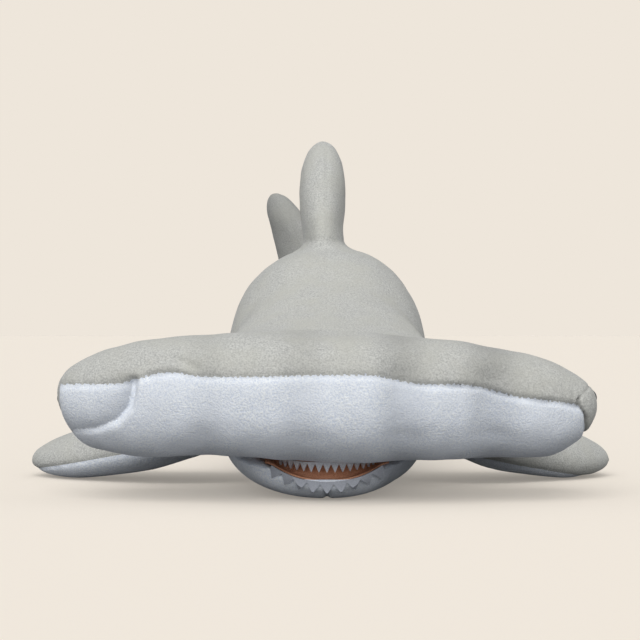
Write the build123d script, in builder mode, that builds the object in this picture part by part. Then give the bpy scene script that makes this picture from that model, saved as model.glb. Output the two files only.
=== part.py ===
"""A stuffed hammerhead shark, lying on its belly with its nose towards -Y.

Every soft volume is drawn twice: once at the outside of its cloth and once at the inside.  The
shell between the two is cut along the seams into the sewn panels, and the inner form is the
fibre filling.  A fin, the jaw and the tail bend where they are sewn on, so each has a rounded
root that turns in a round hollow of the part that carries it.
"""

from build123d import *
from math import copysign, cos, pi, radians, sin
import os

os.makedirs("parts", exist_ok=True)

# ---------------------------------------------------------------- driving dimensions, in mm
LENGTH = 616.0  # nose to tail tip
NOSE = -LENGTH / 2  # Y of the nose; a station is a distance behind it
CLOTH = 2.5  # pile fabric of the body
FIN_CLOTH = 2.2
LINING = 1.5  # felt inside the mouth
JOINT_GAP = 0.6  # air round a rounded root
FAR = 900.0  # larger than anything here

# The hammer, from the middle out: (side, leading edge, half chord, mid height, half thickness).
HEAD_HALF = [
    (0, 0, 50, 69.5, 43.0),
    (40, 2, 50, 70, 42.0),
    (80, 10, 48, 70.5, 40.5),
    (125, 22, 43, 67.5, 36.5),
    (150, 31, 39, 66, 31.5),
    (165, 38, 35, 66, 25.0),
    (176, 46, 28, 67, 16.5),
    (182, 56, 18, 68, 9.0),
]
HEAD_POWER = 2.3  # above 2 an ellipse grows squarer
HEAD_SEAM_HEIGHT = 84.0  # grey over white at the nose
HEAD_SEAM_FALL = 0.25  # the seam drops this much per mm towards the back
GUSSET_FROM = 171.0  # the end pieces start this far from the middle

# The body: (station, half width, underside, height of the widest place, top).
BODY = [
    (46, 22, 8, 22, 50),
    (58, 44, 2.5, 34, 72),
    (80, 60, -1, 42, 98),
    (112, 70, -1.5, 48, 118),
    (150, 73, -2, 66, 146),
    (190, 75, -2, 88, 170),
    (240, 76, -2, 98, 180),
    (295, 73, -2, 96, 178),
    (345, 63, -1, 88, 162),
    (390, 50, 3, 78, 140),
    (432, 38, 10, 70, 120),
    (475, 28, 20, 66, 106),
    (520, 20, 32, 68, 102),
    (555, 12, 44, 71, 97),
]
BODY_TOP_POWER = 2.1
BELLY_POWER = 2.9
CHIN_POWER = 2.3  # the chin is rounder than the belly
CHIN_END = 120.0
BELLY_SEAM_HEIGHT = 44.0  # grey over white at the nose station
BELLY_SEAM_RISE = 0.045

# The mouth is a wedge of air below the hammer, and the jaw turns on a drum behind it.
JAW_HINGE_STATION = 150.0
JAW_HINGE_HEIGHT = 20.0
JAW_ROOT_RADIUS = 20.0
LIP_STATION = 46.0
ROOF = (29.5, 0.115)  # height over the lip and rise per mm
CHEEK = (21.5, 0.178)  # top of the jaw, likewise
TROUGH_RADIUS = 70.0  # the lip hangs in an arc
TROUGH_HEIGHT = 83.6
TOOTH_LENGTH = 6.0
TOOTH_THICKNESS = 1.6
UPPER_TEETH = 15
UPPER_ROW = (38.0, 94.0, 42.0)  # half width, station of its centre, depth
UPPER_ROW_END = 30.0  # the row starts and stops this many degrees round the oval
UPPER_TIP_HEIGHT = 19.0
UPPER_TIP_RISE = 0.2
LOWER_TEETH = 9
LOWER_TOOTH_DROP = 8.0  # the lower teeth have flopped out over the lip

# Fin sections: (distance from the hinge, middle of the chord, half chord, half thickness).
PECTORAL = [
    (0, 5, 45, 16.5),
    (35, 6, 47, 17.8),
    (75, 19, 43, 18.2),
    (107, 31, 36, 16.8),
    (129, 39, 27, 13.5),
    (142, 44, 16, 9.0),
    (147, 46, 7, 4.0),
]
PECTORAL_HINGE = (81.0, 198.0, 40.5)  # side, station, height
PECTORAL_DROOP = 12.0
DORSAL = [
    (0, 0, 49, 17.0),
    (24, 9, 41, 18.0),
    (48, 21, 32, 17.6),
    (66, 33, 24, 14.6),
    (77, 41, 16, 11.0),
    (84, 46, 9, 6.5),
    (87, 48, 4, 3.0),
]
DORSAL_HINGE = (0.0, 262.0, 187.0)

# The tail fin stands on end and has flopped over to the right of the animal:
# (height, middle station, sideways, half chord, half thickness).
CAUDAL = [
    (5, 577, 0, 8, 4.5),
    (12, 572, 0, 17, 9.5),
    (30, 560, 0, 27, 13.5),
    (55, 549, 0, 34, 15.0),
    (85, 546, 0, 36, 15.5),
    (118, 554, -3, 32, 15.5),
    (158, 569, -12, 28, 15.5),
    (198, 584, -23, 23, 15.5),
    (230, 598, -32.5, 18, 15.0),
    (245, 605, -37, 13, 13.0),
    (252, 608, -39, 8, 9.0),
    (255, 609, -40, 4, 5.0),
]
CAUDAL_HINGE_STATION = 512.0
CAUDAL_ROOT_RADIUS = 25.0
TAIL_HINGE_STATION = 425.0
TAIL_ROOT_RADIUS = 47.0
TAIL_BEND = 3.0  # the tail lies bent towards the right of the animal

EYE = (182.0, 82.0, 68.0)  # side, station, height
EYE_RADIUS = 5.5
EYE_DOME = 3.2
EYE_STEM_RADIUS = 2.0
EYE_STEM_LENGTH = 7.0
WASHER_RADIUS = 4.5
WASHER_THICKNESS = 1.2

written = []


def save(part, label):
    """Writes one sub-part under its own name."""
    part.label = label
    export_step(part, f"parts/{label}.step")
    written.append(label)


def at(side, station, height):
    """The point with these distances from the middle, the nose and the floor."""
    return (side, NOSE + station, height)


# ---------------------------------------------------------------- soft forms
def rounded(half_width, half_height, power):
    """Points of a closed outline between an ellipse and a rectangle."""
    points = []
    for step in range(24):
        across, up = cos(2 * pi * step / 24), sin(2 * pi * step / 24)
        points.append((
            copysign(abs(across) ** (2 / power), across) * half_width,
            copysign(abs(up) ** (2 / power), up) * half_height,
        ))
    return points


def body_form(inset):
    """The whole stuffed body and tail stem, drawn in by a thickness of cloth."""
    with BuildPart() as form:
        for station, half_width, low, middle, high in BODY:
            low_power = CHIN_POWER if station < CHIN_END else BELLY_POWER
            above = rounded(half_width - inset, high - middle - inset, BODY_TOP_POWER)[:13]
            below = rounded(half_width - inset, middle - low - inset, low_power)[13:]
            place = station + inset if station == BODY[0][0] else station
            with BuildSketch(Plane.XZ.offset(-NOSE - place)):
                with BuildLine():
                    Spline(*[(x, z + middle) for x, z in above + below], periodic=True)
                make_face()
        loft()
        with Locations((0, 0, inset)):
            Box(FAR, FAR, FAR, align=(Align.CENTER, Align.CENTER, Align.MIN), mode=Mode.INTERSECT)
    return form.part


def head_form(inset):
    """The hammer, lofted from tip to tip."""
    tip = HEAD_HALF[-1][0]
    sections = [(-side, *rest) for side, *rest in reversed(HEAD_HALF[1:])] + HEAD_HALF
    with BuildPart() as form:
        for side, edge, chord, height, thick in sections:
            across = copysign(tip - inset, side) if abs(side) == tip else side
            with BuildSketch(Plane.YZ.offset(across)):
                with BuildLine():
                    outline = rounded(chord - inset, thick - inset, HEAD_POWER)
                    middle = NOSE + edge + chord
                    Spline(*[(y + middle, z + height) for y, z in outline], periodic=True)
                make_face()
        loft()
    return form.part


def fin_root(plane, sections, growth, turn=360):
    """The spheroid that a fin turns on, or with some growth the hollow that it turns in."""
    _, middle, chord, thick = sections[0]
    with BuildPart() as root:
        with BuildSketch(plane):
            with Locations((middle, 0)):
                Ellipse(chord + growth, thick + growth)
                Rectangle(FAR, FAR, align=(Align.CENTER, Align.MAX), mode=Mode.SUBTRACT)
        revolve(axis=Axis(plane.origin, -plane.x_dir), revolution_arc=turn)
    return root.part


def fin_form(plane, sections, inset):
    """A fin lofted outwards along its plane's normal, with its round root."""
    with BuildPart() as form:
        for reach, middle, chord, thick in sections:
            outward = reach - inset if reach == sections[-1][0] else reach
            with BuildSketch(plane.offset(outward)):
                with Locations((middle, 0)):
                    Ellipse(chord - inset, thick - inset)
        loft()
        add(fin_root(plane, sections, -inset, turn=180))
    return form.part


def half_space(plane):
    """Everything on the normal's side of a plane."""
    with BuildPart() as block:
        with BuildSketch(plane):
            Rectangle(2 * FAR, 2 * FAR)
        extrude(amount=FAR)
    return block.part


def slope(height, rise, station=0.0):
    """A plane across the body that climbs towards the back; its normal points up."""
    return Plane(origin=at(0, station, height), x_dir=(1, 0, 0), z_dir=(0, -rise, 1))


def mouth_region(lid, grow):
    """Everything below a lid and ahead of the jaw's hinge, and the drum on the hinge."""
    height, rise = lid
    with BuildPart() as region:
        with Locations(at(0, JAW_HINGE_STATION, JAW_HINGE_HEIGHT)):
            Box(FAR, FAR, FAR, align=(Align.CENTER, Align.MAX, Align.CENTER))
            Cylinder(JAW_ROOT_RADIUS + grow, FAR, rotation=(0, 90, 0))
        split(bisect_by=slope(height, rise, LIP_STATION), keep=Keep.BOTTOM)
    return region.part


def tail_region(station, radius):
    """Everything behind an upright hinge, and the drum on the hinge."""
    with BuildPart() as region:
        with Locations(at(0, station, 0)):
            Box(FAR, FAR, FAR, align=(Align.CENTER, Align.MIN, Align.CENTER))
            Cylinder(radius, FAR)
    return region.part


def cut(kept, *taken):
    """What is left of a solid, in builder mode, once others are taken from it."""
    with BuildPart() as rest:
        add(kept)
        for other in taken:
            add(other, mode=Mode.SUBTRACT)
    return rest.part


def shared(first, *others):
    """The volume that solids have in common."""
    with BuildPart() as common:
        add(first)
        for other in others:
            add(other, mode=Mode.INTERSECT)
    return common.part


def joined(*solids):
    """Several solids as one."""
    with BuildPart() as whole:
        for solid in solids:
            add(solid)
    return whole.part


def mirrored(solid):
    """The same solid on the other side of the animal."""
    with BuildPart() as other:
        add(solid)
        mirror(about=Plane.YZ, mode=Mode.REPLACE)
    return other.part


# ---------------------------------------------------------------- forms and the spaces between
head_outer, head_inner = head_form(0), head_form(CLOTH)
body_outer, body_inner = body_form(0), body_form(CLOTH)

droop = radians(PECTORAL_DROOP)
pectoral_planes = {}
for name, way in (("left", 1), ("right", -1)):
    side, station, height = PECTORAL_HINGE
    pectoral_planes[name] = Plane(
        origin=at(way * side, station, height),
        x_dir=(0, 1, 0),
        z_dir=(way * cos(droop), 0, -sin(droop)),
    )
dorsal_plane = Plane(origin=at(*DORSAL_HINGE), x_dir=(0, 1, 0), z_dir=(0, 0, 1))
fin_hollows = [fin_root(plane, PECTORAL, JOINT_GAP) for plane in pectoral_planes.values()]
fin_hollows.append(fin_root(dorsal_plane, DORSAL, JOINT_GAP))

mouth_space = mouth_region(ROOF, JOINT_GAP)
mouth_space_lined = mouth_region((ROOF[0] + LINING, ROOF[1]), JOINT_GAP + LINING)
tail_space = tail_region(TAIL_HINGE_STATION, TAIL_ROOT_RADIUS + JOINT_GAP)
neck_core = cut(body_inner, mouth_space_lined)
belly_seam = slope(BELLY_SEAM_HEIGHT, BELLY_SEAM_RISE)
above_belly_seam = half_space(belly_seam)
left_half = half_space(Plane.YZ)

# ---------------------------------------------------------------- head
eye_side, eye_station, eye_height = EYE
with BuildPart() as left_eye:
    with Locations(Location(at(*EYE), (0, 90, 0))):
        Cylinder(
            EYE_STEM_RADIUS, EYE_STEM_LENGTH, align=(Align.CENTER, Align.CENTER, Align.MAX)
        )
    ball = (EYE_RADIUS**2 + EYE_DOME**2) / (2 * EYE_DOME)  # radius of the ball the dome is cut from
    with BuildSketch(Plane.XY.offset(eye_height)) as dome_profile:
        with BuildLine():
            rim = (eye_side, NOSE + eye_station + EYE_RADIUS)
            crown = (eye_side + EYE_DOME, NOSE + eye_station)
            dome_centre = (eye_side + EYE_DOME - ball, NOSE + eye_station)
            RadiusArc(rim, crown, ball)
            Line(crown, (eye_side, NOSE + eye_station))
            Line((eye_side, NOSE + eye_station), rim)
        make_face()
    revolve(axis=Axis(at(*EYE), (1, 0, 0)))
with BuildPart() as left_eye_washer:
    inner_face = eye_side - CLOTH
    with Locations(Location(at(inner_face, eye_station, eye_height), (0, 90, 0))):
        Cylinder(WASHER_RADIUS, WASHER_THICKNESS, align=(Align.CENTER, Align.CENTER, Align.MAX))
        Cylinder(
            EYE_STEM_RADIUS, FAR, align=(Align.CENTER, Align.CENTER, Align.CENTER),
            mode=Mode.SUBTRACT,
        )
right_eye, right_eye_washer = mirrored(left_eye.part), mirrored(left_eye_washer.part)
eye_hardware = (left_eye.part, left_eye_washer.part, right_eye, right_eye_washer)
save(left_eye.part, "left_eye")
save(right_eye, "right_eye")
save(left_eye_washer.part, "left_eye_washer")
save(right_eye_washer, "right_eye_washer")

head_shell = cut(head_outer, head_inner, neck_core, *eye_hardware)
beyond_left = half_space(Plane.YZ.offset(GUSSET_FROM))
beyond_right = mirrored(beyond_left)
head_middle = cut(head_shell, beyond_left, beyond_right)
above_head_seam = half_space(slope(HEAD_SEAM_HEIGHT, -HEAD_SEAM_FALL))
save(shared(head_middle, above_head_seam), "head_top_panel")
save(cut(head_middle, above_head_seam), "head_under_panel")
save(shared(head_shell, beyond_left), "left_end_gusset")
save(shared(head_shell, beyond_right), "right_end_gusset")

# ---------------------------------------------------------------- body
body_shell = cut(body_outer, body_inner, head_outer, mouth_space, tail_space, *fin_hollows)
back_shell = shared(body_shell, above_belly_seam)
save(shared(back_shell, left_half), "back_left_panel")
save(cut(back_shell, left_half), "back_right_panel")
save(cut(body_shell, above_belly_seam), "belly_panel")
save(
    cut(joined(head_inner, neck_core), tail_space, *fin_hollows, *eye_hardware),
    "body_stuffing",
)
mouth_lining = cut(shared(mouth_space_lined, body_inner), mouth_space, head_outer)
save(mouth_lining, "palate_lining")


row_side, row_station, row_depth = UPPER_ROW
with BuildPart() as upper_teeth:
    with BuildSketch():
        with Locations(at(0, row_station, 0)[:2]):
            Ellipse(row_side + TOOTH_THICKNESS / 2, row_depth + TOOTH_THICKNESS / 2)
            Ellipse(
                row_side - TOOTH_THICKNESS / 2, row_depth - TOOTH_THICKNESS / 2,
                mode=Mode.SUBTRACT,
            )
        with Locations(at(0, row_station - row_depth * sin(radians(UPPER_ROW_END)), 0)[:2]):
            Rectangle(FAR, FAR, align=(Align.CENTER, Align.MIN), mode=Mode.SUBTRACT)
    extrude(amount=60)
    for notch in range(UPPER_TEETH + 1):
        angle = radians(UPPER_ROW_END + (180 - 2 * UPPER_ROW_END) * notch / UPPER_TEETH)
        side, station = row_side * cos(angle), row_station - row_depth * sin(angle)
        along = Vector(-row_side * sin(angle), -row_depth * cos(angle), 0)
        pitch = along.length * radians(180 - 2 * UPPER_ROW_END) / UPPER_TEETH
        tip = UPPER_TIP_HEIGHT + UPPER_TIP_RISE * (station - row_station + row_depth)
        with BuildSketch(
            Plane(origin=at(side, station, tip), x_dir=along, z_dir=(along.Y, -along.X, 0))
        ):
            Polygon(
                (0, TOOTH_LENGTH), (pitch / 2 + 0.3, -0.4), (pitch / 2 + 0.3, -FAR / 20),
                (-pitch / 2 - 0.3, -FAR / 20), (-pitch / 2 - 0.3, -0.4), align=None,
            )
        extrude(amount=2 * TOOTH_THICKNESS, both=True, mode=Mode.SUBTRACT)
    add(mouth_space, mode=Mode.INTERSECT)
    add(head_outer, mode=Mode.SUBTRACT)
save(upper_teeth.part, "upper_teeth")
print("upper teeth solids", len(upper_teeth.part.solids()))

# ---------------------------------------------------------------- jaw
with BuildPart() as trough:
    with Locations(Location((0, 0, TROUGH_HEIGHT), (90, 0, 0))):
        Cylinder(TROUGH_RADIUS, FAR)
with BuildPart() as trough_lined:
    with Locations(Location((0, 0, TROUGH_HEIGHT), (90, 0, 0))):
        Cylinder(TROUGH_RADIUS + LINING, FAR)
jaw_outer = cut(shared(body_outer, mouth_region(CHEEK, 0)), trough.part)
jaw_hollow = shared(jaw_outer, body_inner)
jaw_filled = cut(
    shared(body_inner, mouth_region((CHEEK[0] - LINING, CHEEK[1]), -LINING)), trough_lined.part
)
save(cut(jaw_outer, body_inner), "jaw_panel")
save(cut(jaw_hollow, jaw_filled), "mouth_floor_lining")
save(jaw_filled, "jaw_stuffing")

with BuildPart() as lower_teeth:
    with BuildSketch(Plane.XZ.offset(-NOSE - LIP_STATION - 40)):
        row = []
        for number in range(2 * LOWER_TEETH + 1):
            angle = radians(-32 + 64 * number / (2 * LOWER_TEETH))
            reach = TROUGH_RADIUS + (LOWER_TOOTH_DROP if number % 2 else 1.5)
            row.append((reach * sin(angle), TROUGH_HEIGHT - reach * cos(angle)))
        lip = [
            (TROUGH_RADIUS * sin(radians(a)), TROUGH_HEIGHT - TROUGH_RADIUS * cos(radians(a)))
            for a in range(32, -33, -4)
        ]
        Polygon(*(row + lip), align=None)
    extrude(amount=80)
    add(body_form(-TOOTH_THICKNESS), mode=Mode.INTERSECT)
    add(body_outer, mode=Mode.SUBTRACT)
save(lower_teeth.part, "lower_teeth")
print("lower teeth solids", len(lower_teeth.part.solids()))

# ---------------------------------------------------------------- pectoral fins
for name, way in (("left", 1), ("right", -1)):
    plane = pectoral_planes[name]
    inner = fin_form(plane, PECTORAL, FIN_CLOTH)
    shell = cut(fin_form(plane, PECTORAL, 0), inner)
    above_chord = half_space(
        Plane(origin=plane.origin, x_dir=(0, 1, 0), z_dir=(way * sin(droop), 0, cos(droop)))
    )
    save(shared(shell, above_chord), f"{name}_pectoral_top_panel")
    save(cut(shell, above_chord), f"{name}_pectoral_under_panel")
    save(inner, f"{name}_pectoral_stuffing")

# ---------------------------------------------------------------- dorsal fin
dorsal_outer = fin_form(dorsal_plane, DORSAL, 0)
dorsal_inner = fin_form(dorsal_plane, DORSAL, FIN_CLOTH)
dorsal_shell = cut(dorsal_outer, dorsal_inner)
save(shared(dorsal_shell, left_half), "dorsal_left_panel")
save(cut(dorsal_shell, left_half), "dorsal_right_panel")
save(dorsal_inner, "dorsal_stuffing")


# ---------------------------------------------------------------- tail stem and tail fin
def caudal_form(inset, body):
    """The tail fin, lofted upwards, with its root on the end of the stem."""
    with BuildPart() as blade:
        for height, station, sideways, chord, thick in CAUDAL:
            ends = {CAUDAL[0][0]: height + inset, CAUDAL[-1][0]: height - inset}
            with BuildSketch(Plane.XY.offset(ends.get(height, height))):
                with Locations((sideways, NOSE + station)):
                    Ellipse(thick - inset, chord - inset)
        loft()
    root = shared(body, tail_region(CAUDAL_HINGE_STATION, CAUDAL_ROOT_RADIUS - inset))
    return joined(blade.part, root)


def bent(solid):
    """Turned with the tail about its upright hinge."""
    return solid.rotate(Axis(at(0, TAIL_HINGE_STATION, 0), (0, 0, 1)), TAIL_BEND)


caudal_space = tail_region(CAUDAL_HINGE_STATION, CAUDAL_ROOT_RADIUS + JOINT_GAP)
stem_outer = cut(
    shared(body_outer, tail_region(TAIL_HINGE_STATION, TAIL_ROOT_RADIUS)), caudal_space
)
stem_inner = cut(
    shared(body_inner, tail_region(TAIL_HINGE_STATION, TAIL_ROOT_RADIUS - CLOTH)), caudal_space
)
stem_shell = cut(stem_outer, stem_inner)
stem_back = shared(stem_shell, above_belly_seam)
save(bent(shared(stem_back, left_half)), "tail_left_panel")
save(bent(cut(stem_back, left_half)), "tail_right_panel")
save(bent(cut(stem_shell, above_belly_seam)), "tail_belly_panel")
save(bent(stem_inner), "tail_stuffing")

caudal_outer = caudal_form(0, body_outer)
caudal_inner = caudal_form(FIN_CLOTH, body_inner)
caudal_shell = cut(caudal_outer, caudal_inner)
with BuildPart() as left_of_caudal:
    with BuildSketch(Plane.XZ):
        seam = [(sideways, height) for height, _, sideways, _, _ in CAUDAL]
        Polygon((seam[0][0], -FAR), *seam, (seam[-1][0], FAR), (FAR, FAR), (FAR, -FAR), align=None)
    extrude(amount=FAR, both=True)
save(bent(shared(caudal_shell, left_of_caudal.part)), "caudal_left_panel")
save(bent(cut(caudal_shell, left_of_caudal.part)), "caudal_right_panel")
save(bent(caudal_inner), "caudal_stuffing")

print(len(written), "sub-parts written")
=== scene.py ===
# %% [markdown]
# # A stuffed hammerhead shark
# A soft toy has no hard parts to measure from, only cloth pulled tight over filling.
# The solids of the frame say how large each stuffed form is and which body it moves with.
# Here each form is made again as plush, with the seams, valleys and tucks of the sewing.

# %% Load the frame
import bmesh
import bpy
import math
import numpy as np
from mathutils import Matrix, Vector, noise


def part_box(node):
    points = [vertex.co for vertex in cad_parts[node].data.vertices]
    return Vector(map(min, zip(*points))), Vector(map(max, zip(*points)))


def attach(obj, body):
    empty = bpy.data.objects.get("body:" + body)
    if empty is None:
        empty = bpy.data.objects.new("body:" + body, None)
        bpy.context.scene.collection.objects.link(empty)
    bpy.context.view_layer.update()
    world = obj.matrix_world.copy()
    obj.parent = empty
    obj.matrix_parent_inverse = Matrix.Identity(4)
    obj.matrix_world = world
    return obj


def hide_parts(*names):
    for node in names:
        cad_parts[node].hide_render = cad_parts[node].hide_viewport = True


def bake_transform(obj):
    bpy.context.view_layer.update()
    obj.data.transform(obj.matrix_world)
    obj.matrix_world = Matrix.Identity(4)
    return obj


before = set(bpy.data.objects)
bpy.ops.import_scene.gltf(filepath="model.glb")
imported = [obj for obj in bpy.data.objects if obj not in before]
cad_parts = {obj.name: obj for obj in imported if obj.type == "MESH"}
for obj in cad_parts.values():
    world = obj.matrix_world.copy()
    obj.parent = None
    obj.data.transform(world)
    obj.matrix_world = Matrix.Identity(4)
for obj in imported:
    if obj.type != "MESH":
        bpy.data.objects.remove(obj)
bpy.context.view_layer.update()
MM = 0.001
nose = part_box("head_under_panel")[0][1]

# %% [markdown]
# Every outline below is given in millimetres as side, station and height: how far from the
# middle, how far behind the nose, and how far above the floor. A few sections describe each
# form, and a smooth curve fills in between them, as a pattern cutter draws with a flexible rule.


# %% Smooth curves through a few sections
def between(table, where):
    """Smooth values at some places between the rows of a table, whose first column is the place."""
    rows = np.array(table, float)
    places, values = rows[:, 0], rows[:, 1:]
    slopes = np.gradient(values, places, axis=0)
    where = np.clip(np.atleast_1d(where), places[0], places[-1])
    row = np.clip(np.searchsorted(places, where) - 1, 0, len(places) - 2)
    gap = (places[row + 1] - places[row])[:, None]
    t = (where - places[row])[:, None] / gap
    return (
        (2 * t**3 - 3 * t**2 + 1) * values[row] + (t**3 - 2 * t**2 + t) * gap * slopes[row]
        + (3 * t**2 - 2 * t**3) * values[row + 1] + (t**3 - t**2) * gap * slopes[row + 1]
    )


def ease(x, low, high):
    """From 0 at one place to 1 at another, with no corner at either."""
    t = np.clip((x - low) / (high - low), 0, 1)
    return t * t * (3 - 2 * t)


def within(x, low, full, fades, high):
    """1 from full to fades, easing to 0 at low and at high."""
    return ease(x, low, full) * (1 - ease(x, fades, high))


def bell(distance, width):
    """1 at no distance, fading to nothing on both sides."""
    return np.exp(-((distance / width) ** 2))


def squared(turn, power):
    """Cosine and sine for a closed outline between an ellipse and a rectangle."""
    c, s = np.cos(turn), np.sin(turn)
    return np.sign(c) * abs(c) ** (2 / power), np.sign(s) * abs(s) ** (2 / power)


print("a third of the way along a curve:", between([(0, 0), (3, 9)], 1)[0])

# %% [markdown]
# The hammer is one long pillow from tip to tip. Its columns are spaced by an angle, because
# that closes a rounded end with evenly shrinking sections, where even steps would leave a
# blunt cap. It droops a little to one side, as a soft toy settles.

# %% The hammer's form
HALF_SPAN = 183
DROOP = 0.0235  # the hammer is this much lower for each millimetre to the shark's left
HAMMER_POWER = 2.3  # above 2 an ellipse grows squarer
HAMMER_RINGS, HAMMER_POINTS = 181, 96
FULLER = [(-128, 5, 42), (-166, 5, 13), (160, 2, 20)]  # rows: side, how far it sags there, width
# Rows: angle out from the middle, leading edge, half chord, mid height, half thickness.
HAMMER = [
    (0, 0, 50, 69.5, 43), (12.6, 2, 50, 70, 42.3), (25.8, 10, 48, 70.5, 40.7),
    (42.8, 22, 43, 67.8, 36.7), (54.6, 31, 39, 66.3, 32), (63.7, 38, 35, 66, 25.5),
    (73, 46, 27, 67, 17.5), (81.5, 56, 17, 68, 9), (90, 73, 0.1, 68, 0.1),
]


def hammer_rings():
    """Rings of points across the hammer, from one tip to the other."""
    out = np.linspace(-90, 90, HAMMER_RINGS)
    turn = np.linspace(0, 2 * np.pi, HAMMER_POINTS, endpoint=False)
    lead, chord, height, thick = between(HAMMER, abs(out)).T
    across, up = squared(turn, HAMMER_POWER)
    side = np.where(out > 0, HALF_SPAN - 0.5, HALF_SPAN) * np.sin(np.radians(out))
    below = thick
    for where, sag, width in FULLER:
        below = below + sag * bell(side - where, width)
    reach = np.where(up > 0, thick[:, None], below[:, None])
    return np.stack([
        np.broadcast_to(side[:, None], (len(out), len(turn))),
        (lead + chord)[:, None] - chord[:, None] * across[None],
        (height - DROOP * side)[:, None] + reach * up[None],
    ], axis=2)


print("hammer", hammer_rings().shape, "rings and points")

# %% [markdown]
# The body is round above and squarer below, where it lies on its belly. The mouth is a
# wedge of air under the hammer: the body keeps above its roof, and the jaw below its lip.

# %% The body's and the jaw's forms
# Rows: station, half width, underside, height of the widest place, top.
BODY = [
    (46, 22, 8, 22, 50), (58, 44, 2.5, 34, 72), (80, 60, -1, 42, 98), (112, 70, -1.5, 48, 118),
    (150, 73, -2, 66, 146), (190, 75, -2, 88, 170), (240, 76, -2, 98, 180), (295, 73, -2, 96, 178),
    (345, 63, -1, 88, 162), (390, 50, 3, 78, 140), (432, 38, 10, 70, 120), (475, 28, 20, 66, 106),
    (520, 20, 32, 68, 102), (555, 12, 44, 71, 97),
]
BACK_POWER, CHIN_POWER = 2.1, 2.3
BELLY_SQUARER = 0.6  # added to the power behind the chin
HINGE = (150.0, 20.0)  # station and height of the jaw's hinge
DRUM = 20.0  # radius of the round end that the jaw turns on
FOLD_GAP = 0.6  # air round that end
LIP = 46.0  # station of the lip
ROOF = (29.5, 0.115)  # height over the lip and rise per mm
CHEEK = (21.5, 0.178)  # top of the jaw, likewise
TROUGH_HEIGHT, TROUGH_RADIUS = 83.6, 70.0


def body_rings(first, last, count):
    """Rings of points along the body between two stations."""
    station = np.linspace(first, last, count)
    turn = np.linspace(0, 2 * np.pi, 120, endpoint=False)
    width, low, middle, high = between(BODY, station).T
    rings = np.zeros((count, len(turn), 3))
    for number, place in enumerate(station):
        low_power = CHIN_POWER + BELLY_SQUARER * ease(place, 100, 150)
        power = np.where(np.sin(turn) >= 0, BACK_POWER, low_power)
        across, up = squared(turn, power)
        reach = np.where(up >= 0, high[number] - middle[number], middle[number] - low[number])
        rings[number, :, 0] = width[number] * across
        rings[number, :, 1] = place
        rings[number, :, 2] = np.maximum(middle[number] + reach * up, 0)
    return rings


def mouth_roof(station):
    """Height of the underside of the body over the mouth and round the jaw's drum."""
    round_end = (DRUM + FOLD_GAP) ** 2 - (station - HINGE[0]) ** 2
    drum = HINGE[1] + np.sqrt(np.clip(round_end, 0, None))
    roof = ROOF[0] + ROOF[1] * (station - LIP)
    return np.where(station < HINGE[0], roof, np.where(station < HINGE[0] + DRUM, drum, 0))


def jaw_top(side, station):
    """Height of the lip, the cheeks and the trough between them."""
    trough = TROUGH_HEIGHT - np.sqrt(np.clip(TROUGH_RADIUS**2 - side**2, 0, None))
    return np.minimum(trough, CHEEK[0] + CHEEK[1] * (station - LIP))


# Rows: station, half width, underside, height of the widest place, top.
NECK_RISE = [
    (22, 30, 70, 86, 102), (34, 52, 64, 84, 109.5), (55, 72, 60, 80, 114.5), (80, 84, 56, 76, 121),
    (112, 84, 52, 72, 132), (150, 76, 50, 76, 148), (185, 66, 60, 90, 163),
]


def neck_rings():
    """The rise from the hammer's top up to the back."""
    station = np.linspace(NECK_RISE[0][0], NECK_RISE[-1][0], 82)
    across, up = squared(np.linspace(0, 2 * np.pi, 96, endpoint=False), BACK_POWER)
    width, low, middle, high = (column[:, None] for column in between(NECK_RISE, station).T)
    height = middle + np.where(up >= 0, high - middle, middle - low) * up
    along = np.broadcast_to(station[:, None], height.shape)
    return np.stack([width * across, along, height], axis=2)


body = body_rings(BODY[0][0], BODY[-1][0], 256)
body[:, :, 2] = np.maximum(body[:, :, 2], mouth_roof(body[:, :, 1]))
print("body rings", body.shape, "neck rings", neck_rings().shape)

# %% [markdown]
# A fin is flat, with a round edge all the way. Each is a stack of ellipses along its own
# length, shrinking to nothing at the tip, and it starts inside the body so that the two
# grow together.

# %% The fins' forms
PECTORAL_HINGE = (81.0, 198.0, 40.5)  # side, station, height
PECTORAL_DROOP = math.radians(12)
PECTORAL_TILT = 0.14  # its back edge is this much higher for each millimetre of chord
# Rows: distance out, middle of the chord, half chord, half thickness.
PECTORAL = [
    (-22, 5, 44, 15), (0, 5, 45, 16.5), (35, 7, 47, 17.5), (75, 19, 43, 18.5), (105, 29, 37, 18),
    (151, 44, 30, 15),
]
PECTORAL_STRETCH = {1: 0.955, -1: 1.03}  # the two fins were not stuffed quite alike
PECTORAL_LAY = 3.5  # the fins lie this much lower in the middle than a straight one would
PECTORAL_TIP, DORSAL_TIP, TAIL_TIP = 105, 54, 218  # how far out the round tips begin
DORSAL_BASE = (262.0, 187.0)  # station, height
DORSAL = [
    (-30, 0, 46, 13), (0, 0, 48, 15.5), (24, 9, 41, 18), (50, 23, 31, 18), (84.5, 45, 20, 15),
]
DORSAL_SETTLE = -3.5  # it has come to stand a little to one side
# Rows: height, middle station, sideways, half chord, half thickness.
TAIL_FIN = [
    (4, 577, 0, 0.1, 0.1), (7, 575, 0, 12, 7), (14, 571, 0, 18, 10), (30, 560, 0, 27, 13.5),
    (55, 549, 0, 34, 15), (85, 546, 0, 36, 15.5), (118, 554, -3, 34, 15.5),
    (158, 567, -12, 34, 15.5), (198, 577, -22, 33.5, 16), (225, 584, -30, 32, 16),
    (252, 589, -38, 29, 15),
]
TAIL_FIN_TWIST = math.radians(36)  # its back edge has turned to the right of the animal
TAIL_FIN_SLOPE = 0.42  # the tip is lower in front


def rounded_steps(first, last, count):
    """Places from first to last that crowd together at the last, where a tip closes."""
    return last - (last - first) * (1 - np.sin(np.linspace(0, np.pi / 2, count)))


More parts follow.
